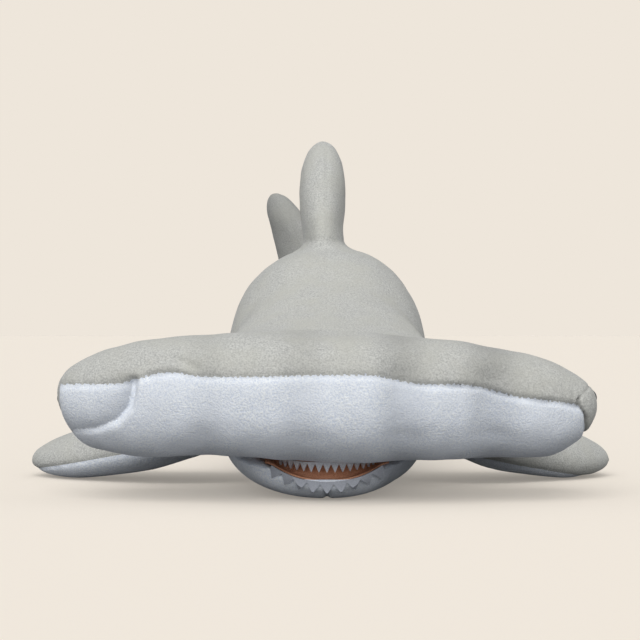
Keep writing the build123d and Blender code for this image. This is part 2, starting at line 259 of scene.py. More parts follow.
def tip_round(reach, begins, ends):
    """Shrinks the sections to nothing as a circle does, from where the tip begins."""
    return math.sqrt(max(1 - max((reach - begins) / (ends - begins), 0) ** 2, 1e-5))


def fin_rings(table, reaches, tip_begins, put):
    """Rings of a fin: put(reach, chordwise, thickwise) gives the places."""
    turn = np.linspace(0, 2 * np.pi, 72, endpoint=False)
    rings = []
    for reach, (middle, chord, thick) in zip(reaches, between(table, reaches)):
        left = tip_round(reach, tip_begins, table[-1][0])
        rings.append(put(reach, middle + left * chord * np.cos(turn), left * thick * np.sin(turn)))
    return np.array(rings)


def pectoral_place(way):
    """Places the rings of a side fin: way is 1 for the shark's left and -1 for its right."""
    side, station, height = PECTORAL_HINGE
    c, s = math.cos(PECTORAL_DROOP), math.sin(PECTORAL_DROOP)

    def put(reach, chordwise, thick):
        tilt = PECTORAL_TILT * chordwise * ease(reach, 10, 80)
        up = height - reach * s + thick * c + tilt - PECTORAL_LAY * ease(reach, 5, 60)
        out = way * (side + reach * c * PECTORAL_STRETCH[way] + thick * s)
        return np.stack([out, station + chordwise, np.maximum(up, 0.3)], axis=1)

    return put


def dorsal_place(reach, chordwise, thick):
    station, height = DORSAL_BASE
    side = thick + DORSAL_SETTLE * ease(reach, -30, 12)
    return np.stack([side, station + chordwise, np.full_like(thick, height + reach)], axis=1)


def tail_fin_rings():
    turn = np.linspace(0, 2 * np.pi, 72, endpoint=False)
    low = 4 + 60 * (1 - np.cos(np.linspace(0, np.pi / 2, 40)))
    heights = np.concatenate([low, rounded_steps(low[-1] + 2, TAIL_FIN[-1][0], 80)])
    rings = []
    for height, (station, side, chord, thick) in zip(heights, between(TAIL_FIN, heights)):
        left = tip_round(height, TAIL_TIP, TAIL_FIN[-1][0])
        twist = TAIL_FIN_TWIST * ease(height, 60, 200)
        along, across = left * chord * np.cos(turn), left * thick * np.sin(turn)
        rings.append(np.stack([
            side + across * np.cos(twist) - along * np.sin(twist),
            station + along * np.cos(twist) + across * np.sin(twist),
            height + TAIL_FIN_SLOPE * ease(height, 150, 215) * along,
        ], axis=1))
    return np.array(rings)


reaches = rounded_steps(PECTORAL[0][0], PECTORAL[-1][0], 90)
left_fin = fin_rings(PECTORAL, reaches, PECTORAL_TIP, pectoral_place(1))
right_fin = fin_rings(PECTORAL, reaches, PECTORAL_TIP, pectoral_place(-1))
reaches = rounded_steps(DORSAL[0][0], DORSAL[-1][0], 80)
back_fin = fin_rings(DORSAL, reaches, DORSAL_TIP, dorsal_place)
tail_fin = tail_fin_rings()
print("fins", left_fin.shape, back_fin.shape, tail_fin.shape)

# %% [markdown]
# A toy like this is one bag of filling, so where the hammer, the body and the fins meet
# there is a soft fillet and never a hard crease. Voxel remeshing joins overlapping closed
# forms into one even skin, and some smoothing where they meet makes the fillet.


# %% One skin from several forms
VOXEL, JAW_VOXEL = 3.0, 2.0


def closed_form(rings):
    """A bmesh tube through the rings, closed at both ends."""
    form = bmesh.new()
    rows = [[form.verts.new(point) for point in ring] for ring in rings]
    for row, following in zip(rows, rows[1:]):
        for a, b, c, d in zip(row, row[1:] + row[:1], following[1:] + following[:1], following):
            form.faces.new((a, b, c, d))
    form.faces.new(reversed(rows[0]))
    form.faces.new(rows[-1])
    bmesh.ops.recalc_face_normals(form, faces=form.faces)
    return form


def fused(name, forms, voxel):
    """One mesh, in millimetres, round all the forms."""
    mesh = bpy.data.meshes.new(name)
    whole = bmesh.new()
    for rings in forms:
        part = closed_form(rings)
        scratch = bpy.data.meshes.new("scratch")
        part.to_mesh(scratch)
        part.free()
        whole.from_mesh(scratch)
        bpy.data.meshes.remove(scratch)
    whole.to_mesh(mesh)
    whole.free()
    holder = bpy.data.objects.new(name, mesh)
    bpy.context.collection.objects.link(holder)
    remesh = holder.modifiers.new("remesh", "REMESH")
    remesh.mode = "VOXEL"
    remesh.voxel_size = voxel
    skin = as_rendered(holder)
    bpy.data.objects.remove(holder)
    return skin


def as_rendered(holder):
    """A new mesh with the object's modifiers applied."""
    graph = bpy.context.evaluated_depsgraph_get()
    return bpy.data.meshes.new_from_object(holder.evaluated_get(graph), depsgraph=graph)


def places_of(mesh):
    flat = np.empty(len(mesh.vertices) * 3)
    mesh.vertices.foreach_get("co", flat)
    return flat.reshape(-1, 3)


def put_places(mesh, places):
    mesh.vertices.foreach_set("co", np.ascontiguousarray(places, dtype=float).ravel())
    mesh.update()


def normals_of(mesh):
    flat = np.empty(len(mesh.vertices) * 3)
    mesh.vertex_normals.foreach_get("vector", flat)
    return flat.reshape(-1, 3)


def relaxed(mesh, weight, rounds):
    """Moves each point towards the mean of its neighbours, as far as its weight says."""
    ends = np.empty(len(mesh.edges) * 2, dtype=int)
    mesh.edges.foreach_get("vertices", ends)
    a, b = ends.reshape(-1, 2).T
    places = places_of(mesh)
    count = np.bincount(np.concatenate([a, b]), minlength=len(places))
    for _ in range(rounds):
        mean = np.stack([
            np.bincount(a, places[b, axis], len(places))
            + np.bincount(b, places[a, axis], len(places))
            for axis in range(3)
        ], axis=1) / count[:, None]
        places += 0.5 * weight[:, None] * (mean - places)
    put_places(mesh, places)


forms = [hammer_rings(), body, neck_rings(), left_fin, right_fin, back_fin, tail_fin]
skin = fused("skin", forms, VOXEL)
print("fused skin has", len(skin.vertices), "points")

# %% Fillets where the forms meet
side, station, height = places_of(skin).T
neck = ease(135 - abs(side), 0, 50) * within(station, 16, 40, 150, 180) * ease(height, 78, 98)
roots = within(abs(side), 58, 66, 88, 100) * within(station, 130, 140, 255, 270)
roots *= 1 - ease(height, 62, 80)
ridge = within(height, 160, 170, 194, 204) * within(station, 190, 205, 325, 340)
ridge *= 1 - ease(abs(side), 24, 34)
stem_end = within(station, 488, 500, 565, 585) * within(height, 15, 30, 120, 140)
relaxed(skin, np.full(len(side), 0.8), 5)
relaxed(skin, np.clip(neck + roots + 0.25 * ridge + stem_end, 0, 1), 70)
finer = bpy.data.objects.new("finer", skin)
bpy.context.collection.objects.link(finer)
smooth = finer.modifiers.new("finer", "SUBSURF")
smooth.levels = smooth.render_levels = 1
skin = as_rendered(finer)
bpy.data.objects.remove(finer)
print("finer skin has", len(skin.vertices), "points")

# %% [markdown]
# Filling pushes the white front panel out in lobes, and the stitches and darts hold it back
# in shallow valleys between them. A valley is a dent along a line, deepest on the line and
# fading to both sides, so moving each point inwards by a bell curve of its distance is enough.


# %% Valleys, tucks and lumps
BELLY_SEAM = (44, 0.045)  # height at the nose station and rise per mm
# Rows: side, depth, width of the valleys down the front.
VALLEYS = [(-79, 3.0, 11), (-16, 3.6, 14), (49, 6.2, 13), (110, 7.0, 15)]
# The cloth of the right tip is tucked along a crease, and puckered on top. Rows: side, height.
TIP_CREASE = [(-127, 84), (-127.5, 74), (-130, 65), (-138, 56), (-152, 50), (-170, 48)]
PUCKER = [(-112, 90), (-100, 92), (-90, 89)]
BEHIND_PUCKER = [(-116, 93), (-100, 96.5), (-86, 91)]


def from_line(across, up, line):
    """Distance of each point from a bent line."""
    nearest = np.full(len(across), 1e9)
    for (ax, az), (bx, bz) in zip(line, line[1:]):
        t = ((across - ax) * (bx - ax) + (up - az) * (bz - az)) / ((bx - ax) ** 2 + (bz - az) ** 2)
        t = np.clip(t, 0, 1)
        gap = np.hypot(across - ax - t * (bx - ax), up - az - t * (bz - az))
        nearest = np.minimum(nearest, gap)
    return nearest


def lumps(places, size, seed):
    """Smooth random numbers about -1 to 1, with hills of a size in millimetres."""
    shift = Vector((seed * 7.3, seed * 3.1, seed * 5.7))
    return np.array([noise.noise(Vector(p) / size + shift) for p in places])


def leading_edge(side):
    """Station of the hammer's front edge at each distance from the middle."""
    out = np.degrees(np.arcsin(np.clip(abs(side) / HALF_SPAN, 0, 1)))
    return between([(row[0], row[1]) for row in HAMMER], out)[:, 0]


def head_seam(side):
    """Height of the grey and white seam at the front."""
    line = [
        (-184, 74), (-172, 75), (-145, 76), (-131, 77.3), (-124, 79.6), (-113, 83.2), (-100, 84.8),
        (-88, 83.4), (-50, 83.6), (0, 86),
        (34, 86), (47, 83.2), (60, 81.8), (92, 81.3), (105, 78.9), (122, 74.5), (139, 72.7),
        (165, 69.4), (184, 66),
    ]
    return between(line, side)[:, 0] - DROOP * side


def seam_height(side, station):
    """Height of the seam all the way back: on the hammer, and down to the belly seam behind."""
    lead = leading_edge(side)
    forward = 1 - ease(station, lead + 14, lead + 130)
    belly_seam = BELLY_SEAM[0] + BELLY_SEAM[1] * station
    return head_seam(side) * forward + belly_seam * (1 - forward)


def in_tip(side, height):
    """Whether each point is beyond the crease of the tucked tip."""
    crease_side, crease_height = np.array(TIP_CREASE[::-1]).T
    return side < np.interp(height, crease_height, crease_side)


places, outward = places_of(skin), normals_of(skin)
side, station, height = places.T
lead = leading_edge(side)
front = (1 - ease(station, lead + 24, lead + 60)) * (station < 112)
inwards = np.zeros(len(places))
for where, depth, width in VALLEYS:
    inwards += depth * bell(side - where, width) * front * (1 - 0.75 * ease(height, 84, 100))
    inwards -= 0.6 * depth * bell(side - where, width) * front * (1 - ease(height, 28, 46))
beyond = from_line(side, height, TIP_CREASE)
held = (1 - 0.6 * ease(-side, 128, 145)) * (1 - ease(-side, 145, 176)) * (1 - ease(height, 79, 88))
tucked = np.where(in_tip(side, height), np.exp(-beyond / 10), bell(beyond, 2.8))
inwards += front * held * 7.0 * tucked
inwards -= 1.6 * bell(from_line(side, height, PUCKER), 4.0) * front
inwards += 2.2 * bell(from_line(side, height, BEHIND_PUCKER), 2.6) * front
soft = ease(height, 1, 14)
inwards -= soft * (0.9 * lumps(places, 38, 1) + 0.5 * lumps(places, 15, 2))
print("deepest dent", round(float(inwards.max()), 1), "mm")

# %% [markdown]
# The skin is cut along its seams into the panels that a maker would cut from cloth. A seam
# is rarely flat, so the skin is sheared until the seam lies in a plane, sliced there, and
# sheared back. The new edge then runs exactly along the curved seam.


# %% Cut the skin into panels
NECK, TAIL_CUT, FIN_CUT = 112.0, 400.0, 505.0  # stations of the seams that go all the way round
RIDGE = 184.0  # height of the seam round the back fin's root
CREST_SIDE, CREST_END = 40, 380  # the back fin stays nearer than these to the middle and the nose
ROOT_REACH = -8.0  # the seam of a side fin lies this far out from its hinge
FIN_SEAM_DROP = {1: 14.0, -1: 3.0}  # the grey of a side fin wraps round its front edge


def gusset_edge(way, spots):
    """How far to the side an end piece starts: it wraps further forward on one tip."""
    station, height = spots[:, 1], spots[:, 2]
    if way > 0:
        rounding = 5.0 * np.clip((height - 52) / 20, -1, 0) ** 2 + 6.0 * ease(height, 55, 69)
        upper = 1.1 * np.clip(height - 69, 0, None)
        return 172.0 + 2.0 * ease(station, 40, 60) - rounding + upper
    return -180.0 + 4.5 * ease(station, 56, 80)


def ragged(side, station):
    """Up to a millimetre of raggedness where the pile of two colours meets."""
    across = side + 0.4 * station
    tufts = 0.40 * np.sin(1.55 * across + 1.7 * np.sin(0.21 * side))
    return tufts + 0.30 * np.sin(2.6 * across + 2.0)


def colour_edge(spots):
    """Height of the ragged line where grey pile meets white."""
    return seam_height(spots[:, 0], spots[:, 1]) + ragged(spots[:, 0], spots[:, 1])


def slice_there(form, geometry, point, normal):
    bmesh.ops.bisect_plane(form, geom=geometry, dist=0.02, plane_co=point, plane_no=normal)


def cut_where(form, axis, surface):
    """Adds edges where one coordinate equals surface(places), which must not depend on it."""
    normal = [float(axis == each) for each in range(3)]
    for way in (-1, 1):
        spots = np.array([v.co for v in form.verts])
        shift = way * np.broadcast_to(surface(spots), len(spots))
        for vert, amount in zip(form.verts, shift):
            vert.co[axis] += amount
        if way < 0:
            everything = form.verts[:] + form.edges[:] + form.faces[:]
            slice_there(form, everything, (0, 0, 0), normal)


def cut_plane(form, point, normal, chosen):
    """Adds edges where a plane crosses the chosen faces."""
    faces = [face for face in form.faces if chosen(face.calc_center_bounds())]
    edges = {edge for face in faces for edge in face.edges}
    verts = {vert for face in faces for vert in face.verts}
    geometry = faces + list(edges) + list(verts)
    slice_there(form, geometry, point, normal)


def fin_frame(way):
    """Origin at the root of a side fin, its outward direction and the normal of its chord."""
    side, station, height = PECTORAL_HINGE
    c, s = math.cos(PECTORAL_DROOP), math.sin(PECTORAL_DROOP)
    root, out, up = (way * side, station, height), (way * c, 0, -s), (way * s, 0, c)
    return np.array(root), np.array(out), np.array(up)


def fin_side(spots):
    """The tail fin's seam lies this far sideways at each height."""
    return between([(row[0], row[2]) for row in TAIL_FIN], spots[:, 2])[:, 0]


places += outward * -inwards[:, None]
places[:, 2] = np.maximum(places[:, 2], 0)
put_places(skin, places)
form = bmesh.new()
form.from_mesh(skin)
cut_where(form, 2, colour_edge)
for station in (NECK, TAIL_CUT, FIN_CUT):
    cut_where(form, 1, lambda p: station)
cut_where(form, 0, lambda p: 0.0)
for way in (-1, 1):
    cut_where(form, 0, lambda p: gusset_edge(way, p))
cut_where(form, 2, lambda p: RIDGE)
for way in (-1, 1):
    root, out, up = fin_frame(way)

    def beside(centre):
        return 130 < centre[1] < 330 and way * centre[0] > 55 and centre[2] < 66

    def on_fin(centre):
        return beside(centre) and (Vector(centre) - Vector(root)).dot(out) > ROOT_REACH

    cut_plane(form, root + ROOT_REACH * out, out, beside)
    cut_plane(form, root - FIN_SEAM_DROP[way] * up, up, on_fin)
form.faces.ensure_lookup_table()
bmesh.ops.triangulate(form, faces=[face for face in form.faces if len(face.verts) > 4])
centres = np.array([face.calc_center_median() for face in form.faces])
print("cut skin has", len(form.faces), "faces")

# %% [markdown]
# A face belongs to the panel whose limits its centre lies in. Later rules overrule earlier
# ones, so the large panels come first and the fins last.


# %% Name the panel that each face belongs to
def round_side_fin(way, places, ceiling):
    """Whether each place is round a side fin: under a ceiling, or further out than the body."""
    side, station, height = way * places[:, 0], places[:, 1], places[:, 2]
    return (station > 130) & (station < 330) & (side > 55) & ((height < ceiling) | (side > 90))


side, station, height = centres.T
panel = np.full(len(centres), "", dtype=object)
grey = height > colour_edge(centres)
in_head = station < NECK
panel[in_head & grey] = "head_top_panel"
panel[in_head & ~grey] = "head_under_panel"
panel[in_head & (side > gusset_edge(1, centres))] = "left_end_gusset"
panel[in_head & (side < gusset_edge(-1, centres))] = "right_end_gusset"
behind = ~in_head
panel[behind & ~grey] = "belly_panel"
panel[behind & grey & (side > 0)] = "back_left_panel"
panel[behind & grey & (side <= 0)] = "back_right_panel"
stem = station > TAIL_CUT
panel[stem & ~grey] = "tail_belly_panel"
panel[stem & grey & (side > 0)] = "tail_left_panel"
panel[stem & grey & (side <= 0)] = "tail_right_panel"
aft = station > FIN_CUT
left_half = side > fin_side(centres)
panel[aft & left_half] = "caudal_left_panel"
panel[aft & ~left_half] = "caudal_right_panel"
crest = behind & (height > RIDGE) & (abs(side) < CREST_SIDE) & (station < CREST_END)
panel[crest & (side > 0)] = "dorsal_left_panel"
panel[crest & (side <= 0)] = "dorsal_right_panel"
for way, name in ((1, "left"), (-1, "right")):
    root, out, up = fin_frame(way)
    fin = ((centres - root) @ out > ROOT_REACH) & round_side_fin(way, centres, 66)
    upper = (centres - root) @ up > -FIN_SEAM_DROP[way]
    panel[fin & upper] = f"{name}_pectoral_top_panel"
    panel[fin & ~upper] = f"{name}_pectoral_under_panel"
print({name: int((panel == name).sum()) for name in sorted(set(panel))})

# %% [markdown]
# Thread pulls the cloth down into a narrow groove along each seam, and the groove is uneven
# because each stitch gathers a little cloth. How dark each seam shows is kept on the mesh as
# an attribute, so that the material can darken where the pile closes over the thread.
# The same attribute carries painted shade on the side fins under the hammer, in the valleys,
# in the fold of the tip, low on the hammer's left end and towards the top of the tail fin.

# %% Pull the seams in
TAIL_HINGE, TAIL_BEND = 425, math.radians(3.0)  # the tail lies bent to the right of the animal
spots = np.array([v.co for v in form.verts])
form.normal_update()
outward = np.array([v.normal for v in form.verts])
side, station, height = spots.T
rough = lumps(spots, 7, 3)
in_head, aft = station < NECK, station > FIN_CUT
crest = (height > RIDGE) & (abs(side) < CREST_SIDE)
near_fin = np.zeros(len(spots), bool)
groove, dark = np.zeros(len(spots)), np.zeros(len(spots))


def pull(where, distance, width, depth, shade):
    """Pulls the cloth in beside a seam, within a width and to a depth in millimetres, and
    notes how dark the seam shows, from 0 to 1 or a little over."""
    near = np.asarray(where, float) * bell(distance, width)
    groove[:] = np.maximum(groove, depth * near)
    dark[:] = np.maximum(dark, shade * near)


for way in (1, -1):
    root, out, up = fin_frame(way)
    reach, off_chord = (spots - root) @ out, (spots - root) @ up + FIN_SEAM_DROP[way]
    fin = (reach > ROOT_REACH - 12) & round_side_fin(way, spots, 72)
    near_fin |= fin
    edge = between([(row[0], row[1] - row[2]) for row in PECTORAL], np.clip(reach, 0, 140))[:, 0]
    behind_edge = station - PECTORAL_HINGE[1] - edge
    # Painted shade on the side fins under the hammer, heavier on the fin of the animal's left.
    under_hammer = within(reach, -4, 12, 50, 120) * (1 - ease(behind_edge, 6, 24))
    dark = np.maximum(dark, (0.7 + 0.25 * way) * under_hammer * fin)
    pull(fin, reach - ROOT_REACH, 3.0, 1.6, 0.5)
    pull(fin & (reach > ROOT_REACH), off_chord, 1.8, 0.8, 0.35)
seam = seam_height(side, station)
sewn_tight = 0.3 + 0.7 * ease(side, 25, 70)  # the stitches show more towards the left of the animal
tight = 0.55 + 0.45 * np.clip(1.6 * lumps(spots, 16, 5), -1, 1)
between_ends = (side < gusset_edge(1, spots)) & (side > gusset_edge(-1, spots))
pull(~near_fin & ~aft & in_head & between_ends, height - seam + 0.6, 2.2, 2.2, 1.4)
groove *= np.where(in_head, sewn_tight * 0.5 + 0.5, 1)
dark *= np.where(in_head, sewn_tight * tight, 1)
pull(~near_fin & ~aft & ~in_head, height - seam, 2.4, 1.6, 0.5)
pull(in_head & (height < 70), side - gusset_edge(1, spots), 1.3, 2.0, 1.4)
pull(in_head & (height >= 70), side - gusset_edge(1, spots), 1.3, 0.8, 0.3)
pull(in_head, side - gusset_edge(-1, spots), 1.6, 1.2, 0.4)
pull(~in_head & ~aft & ~crest & (height > seam), side, 2.2, 0.5, 0.12)
pull(crest, side, 1.6, 0.4, 0.05)
near_crest = (abs(side) < CREST_SIDE) & (station > 150) & (station < CREST_END)
pull(near_crest, height - RIDGE, 3.0, 0.7, 0.12)
pull(aft, side - fin_side(spots), 1.8, 0.4, 0.05)
pull(True, station - FIN_CUT, 2.4, 1.2, 0.3)
gathers = np.sin(1.25 * side + 2.2 * lumps(spots * [1, 0.2, 0.2], 9, 8))
gathers *= bell(height - seam - 4.5, 4.5) * (in_head & (abs(side) < 178)) * sewn_tight
gathers *= 0.5 + 0.5 * np.clip(2 * lumps(spots, 20, 9), -1, 1)
for where, depth, width in VALLEYS:  # the valleys are darker, partly because the pile lies the other way and partly as painted shade in the dips
    valley = bell(side - where, width + 4) * in_head * (station < 60)
    dark = np.maximum(dark, 0.075 * depth * valley)
# Painted shade in the fold of the tucked tip.
facing = in_head & (station < 90)
fold = np.exp(-from_line(side, height, TIP_CREASE) / 14)
fold *= facing & in_tip(side, height) & (height < seam)
# Painted shade low on the front of the hammer's left end.
low_front = (1 - ease(height, 30, 56)) * ease(side, 70, 150) * facing
# The last row is painted shade towards the top of the tail fin.
for shade, shaded in ((0.75, fold), (0.45, low_front), (0.7, ease(height, 110, 175) * aft)):
    dark = np.maximum(dark, shade * shaded)
spots -= outward * (groove * np.clip(0.9 + 0.5 * rough, 0.4, 1.4) + 0.45 * gathers)[:, None]
spots[:, 2] = np.maximum(spots[:, 2], 0)
turn = TAIL_BEND * ease(spots[:, 1], 395, 455)
side, back_of_hinge = spots[:, 0].copy(), spots[:, 1] - TAIL_HINGE
spots[:, 0] = side * np.cos(turn) - back_of_hinge * np.sin(turn)
spots[:, 1] = TAIL_HINGE + side * np.sin(turn) + back_of_hinge * np.cos(turn)
print("grooves on", int((groove > 0.3).sum()), "points")

# %% [markdown]
# Each panel becomes an object of its own, because a maker cuts it from its own piece of
# cloth and a reader may want to change one without the others.


# %% Make one piece for each panel
def to_frame(spots):
    """From side, station and height in millimetres to the frame's metres."""
    return np.stack([spots[:, 0] * MM, nose + spots[:, 1] * MM, spots[:, 2] * MM], axis=1)


def piece_from(name, spots, faces, seam_and_painted_shade=None):
    """A smooth object in the frame's metres, with seam darkness and painted shade as an attribute."""
    mesh = bpy.data.meshes.new(name)
    mesh.from_pydata(to_frame(np.asarray(spots, float)).tolist(), [], faces)
    mesh.polygons.foreach_set("use_smooth", [True] * len(faces))
    if seam_and_painted_shade is not None:
        mesh.attributes.new("seam_and_painted_shade", "FLOAT", "POINT").data.foreach_set("value", seam_and_painted_shade)
    mesh.update()
    piece = bpy.data.objects.new(name, mesh)
    bpy.context.collection.objects.link(piece)
    return piece


corners = [[vert.index for vert in face.verts] for face in form.faces]
form.free()
panels = {}
for name in sorted(set(panel)):
    faces = [corners[number] for number in np.flatnonzero(panel == name)]
    used = np.unique(np.concatenate(faces))
    renumber = np.full(len(spots), -1)
    renumber[used] = np.arange(len(used))
    faces = [[int(renumber[corner]) for corner in face] for face in faces]
    panels[name] = piece_from(f"{name}_cloth", spots[used], faces, dark[used])
print(len(panels), "panels of cloth")

# %% [markdown]
# The jaw is a shallow bowl of the same cloth. Its rim hangs in an arc from cheek to cheek,
# and behind it a round end lies in the hollow of the body, where the cloth folds.

# %% The jaw
JAW_WIDER = (0.10, -0.02)  # on the right and on the left of the animal
jaw = body_rings(LIP, HINGE[0] + DRUM - 0.3, 130)
high = jaw_top(jaw[:, :, 0], jaw[:, :, 1])
swing = np.sqrt(np.clip(DRUM**2 - np.clip(jaw[:, :, 1] - HINGE[0], 0, None) ** 2, 0, None))
jaw[:, :, 2] = np.clip(jaw[:, :, 2], 0, high)
jaw[:, :, 2] = np.clip(jaw[:, :, 2], HINGE[1] - swing, HINGE[1] + swing)
jaw[:, :, 0] *= 1 + (1 - ease(jaw[:, :, 1], 90, 140)) * np.where(jaw[:, :, 0] < 0, *JAW_WIDER)
jaw_skin = fused("jaw", [jaw], JAW_VOXEL)
relaxed(jaw_skin, np.full(len(jaw_skin.vertices), 0.8), 6)
holder = bpy.data.objects.new("holder", jaw_skin)
bpy.context.collection.objects.link(holder)
holder.modifiers.new("finer", "SUBSURF").levels = 1
jaw_skin = as_rendered(holder)
bpy.data.objects.remove(holder)
spots, outward = places_of(jaw_skin), normals_of(jaw_skin)
dart = bell(spots[:, 0], 1.8) * (1 - ease(spots[:, 1], 70, 100)) * (1 - ease(spots[:, 2], 9, 12))
spots -= outward * (1.4 * dart + 0.3)[:, None]
spots[:, 2] = np.maximum(spots[:, 2], 0)
faces = [list(face.vertices) for face in jaw_skin.polygons]
# Painted shade on the jaw's corner on the animal's left; the chin's dart shows as a dark seam.
shaded_corner = ease(spots[:, 0], 22, 46) * (1 - ease(spots[:, 1], 110, 140))
jaw_cloth = piece_from("jaw_cloth", spots, faces, np.maximum(dart * 0.8, 1.1 * shaded_corner))
print("jaw has", len(faces), "faces")


# %% [markdown]
# The mouth is lined with felt. The lower sheet rises from the lip to the back of the mouth
# as filling pushes it up, and the upper sheet follows the roof. Both are thin sheets, so a
# grid of points with a little thickness is all they need.

# %% The lining of the mouth
TOOTH_ROUND, TOOTH_MIDDLE = 42, 94  # radius of the arc of teeth, and its middle's station


def sheet_piece(name, wide, deep, put, thickness):
    """A sheet with wide by deep points placed by put(across from -1 to 1, along from 0 to 1)."""
    across, along = np.meshgrid(np.linspace(-1, 1, wide), np.linspace(0, 1, deep))
    spots = put(across.ravel(), along.ravel())
    faces = []
    for row in range(deep - 1):
        for column in range(wide - 1):
            a = row * wide + column
            faces.append([a, a + 1, a + wide + 1, a + wide])
    piece = piece_from(name, spots, faces)
    solid = piece.modifiers.new("thickness", "SOLIDIFY")
    solid.thickness = thickness * MM
    return piece


def body_width(station):
    """Half the width of the body at each station."""
    return between([(row[0], row[1]) for row in BODY], station)[:, 0]


def lower_lining(across, along):
    """Lies on the lip, and behind the teeth rises over the filling to just under the roof."""
    station = 50 + 92 * along
    side = across * np.minimum(body_width(station) * 0.9 - 4, TOOTH_ROUND)
    rest = jaw_top(side, station)
    arc = np.sqrt(np.clip(1 - (side / TOOTH_ROUND) ** 2, 0, 1))
    teeth = TOOTH_MIDDLE - TOOTH_ROUND * arc
    rise = ease(station - teeth, 3, 15)
    height = rest + 0.9 + rise * np.clip(mouth_roof(station) - 3.4 - rest, 0, None)
    return np.stack([side, station, height], axis=1)


def upper_lining(across, along):
    """Follows the roof of the mouth and the hollow behind the jaw, just inside them."""
    station = 66 + 100 * along
    side = across * (body_width(station) * 0.9 - 3)
    height = np.maximum(mouth_roof(station) - 0.8, 4)
    return np.stack([side, station, height], axis=1)


def flat_size(piece, wide):
    """Width and length of a sheet before it was laid in, and its area, in metres."""
    rows = np.array([vert.co for vert in piece.data.vertices]).reshape(-1, wide, 3)
    width = np.linalg.norm(np.diff(rows, axis=1), axis=2).sum(axis=1).max()
    length = np.linalg.norm(np.diff(rows, axis=0), axis=2).sum(axis=0).max()
    return (float(width), float(length)), float(sum(face.area for face in piece.data.polygons))


linings = []
for name, wide, deep, put, thickness, under in (
    ("mouth_floor_felt", 61, 61, lower_lining, 1.0, "jaw_stuffing"),
    ("palate_felt", 41, 61, upper_lining, 0.8, "body_stuffing"),
):
    lining = sheet_piece(name, wide, deep, put, thickness)
    flat, area = flat_size(lining, wide)
    linings.append(lining)
    print(name, "was cut", [round(v, 4) for v in flat], "area", round(area, 5))
floor_lining, roof_lining = linings

# %% [markdown]
# Plush is a forest of short fibres. From an arm's length it reads as a fine grain of light
# tips and dark gaps, with softer patches where a hand has brushed it, a pale sheen towards
# its edges and no gloss. Noise at those two sizes gives the grain and the patches.


# %% Materials
def shader(name):
    """A new material, with its nodes, its links and its surface."""
    material = bpy.data.materials.new(name)
    material.use_nodes = True
    nodes = material.node_tree.nodes
    return material, nodes, material.node_tree.links, nodes["Principled BSDF"]


def grain(nodes, links, size, detail=2.0):
    """Noise with features of a size in millimetres, fixed to the object."""
    place = nodes.new("ShaderNodeTexCoord")
    texture = nodes.new("ShaderNodeTexNoise")
    texture.inputs["Scale"].default_value = 1000 / size
    texture.inputs["Detail"].default_value = detail
    links.new(place.outputs["Object"], texture.inputs["Vector"])
    return texture.outputs["Fac"]


def spread(nodes, links, value, low, high, to_low, to_high):
    """The value carried from one range to another, and kept inside it."""
    node = nodes.new("ShaderNodeMapRange")
    node.inputs["From Min"].default_value, node.inputs["From Max"].default_value = low, high
    node.inputs["To Min"].default_value, node.inputs["To Max"].default_value = to_low, to_high
    links.new(value, node.inputs["Value"])
    return node.outputs["Result"]


def mixed(nodes, links, factor, first, second, blend="MIX"):
    """One colour mixed with another by a value."""
    node = nodes.new("ShaderNodeMix")
    node.data_type = "RGBA"
    node.blend_type = blend
    for socket, colour in ((node.inputs["A"], first), (node.inputs["B"], second)):
        if isinstance(colour, tuple):
            socket.default_value = (*colour, 1)
        else:
            links.new(colour, socket)
    links.new(factor, node.inputs["Factor"])
    return node.outputs["Result"]


def raised(nodes, links, value, strength, distance, before=None):
    """The normals of a relief a distance in millimetres high, on top of those from before."""
    node = nodes.new("ShaderNodeBump")
    node.inputs["Strength"].default_value = strength
    node.inputs["Distance"].default_value = distance * MM
    links.new(value, node.inputs["Height"])
    if before is not None:
        links.new(before, node.inputs["Normal"])
    return node.outputs["Normal"]


def plush(name, tips, roots, patch, sheen):
    """Short pile: light tips over darker roots, in brushed patches, dark in the seams and with
    painted shade.
    """
    material, nodes, links, cloth = shader(name)
    fine = grain(nodes, links, 1.15, 4.0)
    colour = mixed(nodes, links, spread(nodes, links, fine, 0.34, 0.66, 0, 1), roots, tips)
    brushed = spread(nodes, links, grain(nodes, links, 24, 3.0), 0.40, 0.68, 0, 0.6)
    colour = mixed(nodes, links, brushed, colour, patch)
    # The attribute darkens the seams and carries painted shade.
    seam_and_painted_shade = nodes.new("ShaderNodeAttribute")
    seam_and_painted_shade.attribute_name = "seam_and_painted_shade"
    shade = spread(nodes, links, seam_and_painted_shade.outputs["Fac"], 0.1, 1.0, 0, 0.7)
    deep = tuple(0.4 * channel for channel in roots)
    links.new(mixed(nodes, links, shade, colour, deep), cloth.inputs["Base Color"])
    soft = raised(nodes, links, grain(nodes, links, 4, 2.0), 0.25, 0.9)
    links.new(raised(nodes, links, fine, 0.65, 0.9, soft), cloth.inputs["Normal"])
    cloth.inputs["Roughness"].default_value = 0.95
    cloth.inputs["Specular IOR Level"].default_value = 0.1
    cloth.inputs["Sheen Weight"].default_value = sheen
    cloth.inputs["Sheen Roughness"].default_value = 0.55
    return material


def felt(name, light, dark):
    """Pressed fibres: a mottled matte colour with a faint fuzzy relief."""
    material, nodes, links, cloth = shader(name)
    fine = grain(nodes, links, 0.9, 3.0)
    mottle = grain(nodes, links, 7, 2.0)
    colour = mixed(nodes, links, spread(nodes, links, fine, 0.35, 0.65, 0, 1), dark, light)
    colour = mixed(nodes, links, spread(nodes, links, mottle, 0.4, 0.7, 0, 0.4), colour, dark)
    links.new(colour, cloth.inputs["Base Color"])
    links.new(raised(nodes, links, fine, 0.4, 0.3), cloth.inputs["Normal"])
    cloth.inputs["Roughness"].default_value = 0.95
    cloth.inputs["Specular IOR Level"].default_value = 0.1
    return material


